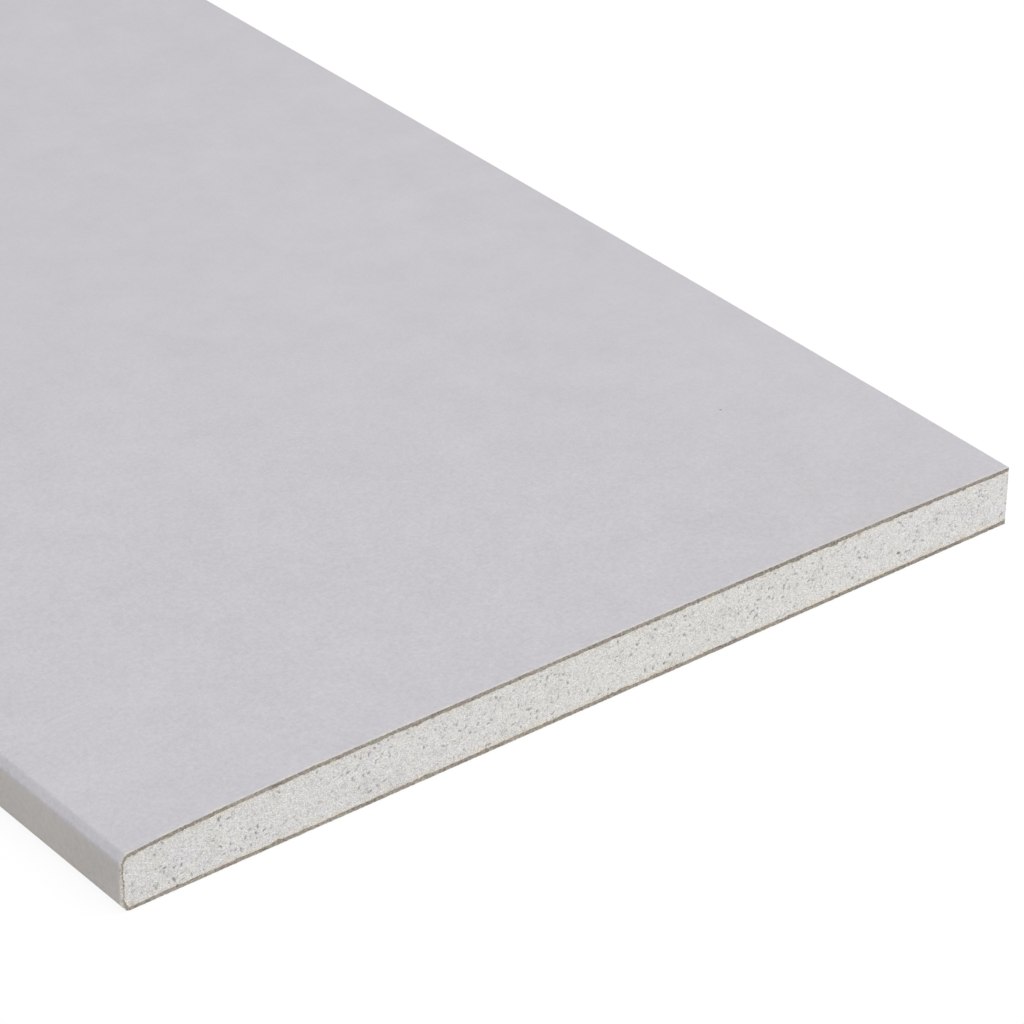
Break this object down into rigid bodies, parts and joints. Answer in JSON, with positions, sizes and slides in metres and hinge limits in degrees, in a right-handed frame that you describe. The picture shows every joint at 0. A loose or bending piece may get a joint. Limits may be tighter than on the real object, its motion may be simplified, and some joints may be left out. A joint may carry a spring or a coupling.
{
  "type": "drywall sheet",
  "caption": "Flat cut length of drywall: a gypsum core between paper liners, with a tapered paper-bound long edge and sawn ends.",
  "frame": {"origin": "middle of the back, on the surface that the board lies on", "axes": "+Z out of the face, +Y along the bound edge, +X across the board from the bound edge to the sawn edge"},
  "size_m": [0.193, 1.2, 0.0125],
  "materials": {
    "face_paper": "matt pale grey liner",
    "gypsum": "sawn porous gypsum",
    "back_paper": "matt grey-brown liner"
  },
  "bodies": {
    "root": {"face_paper": "face_paper", "gypsum_core": "gypsum", "back_paper": "back_paper"}
  },
  "joints": []
}
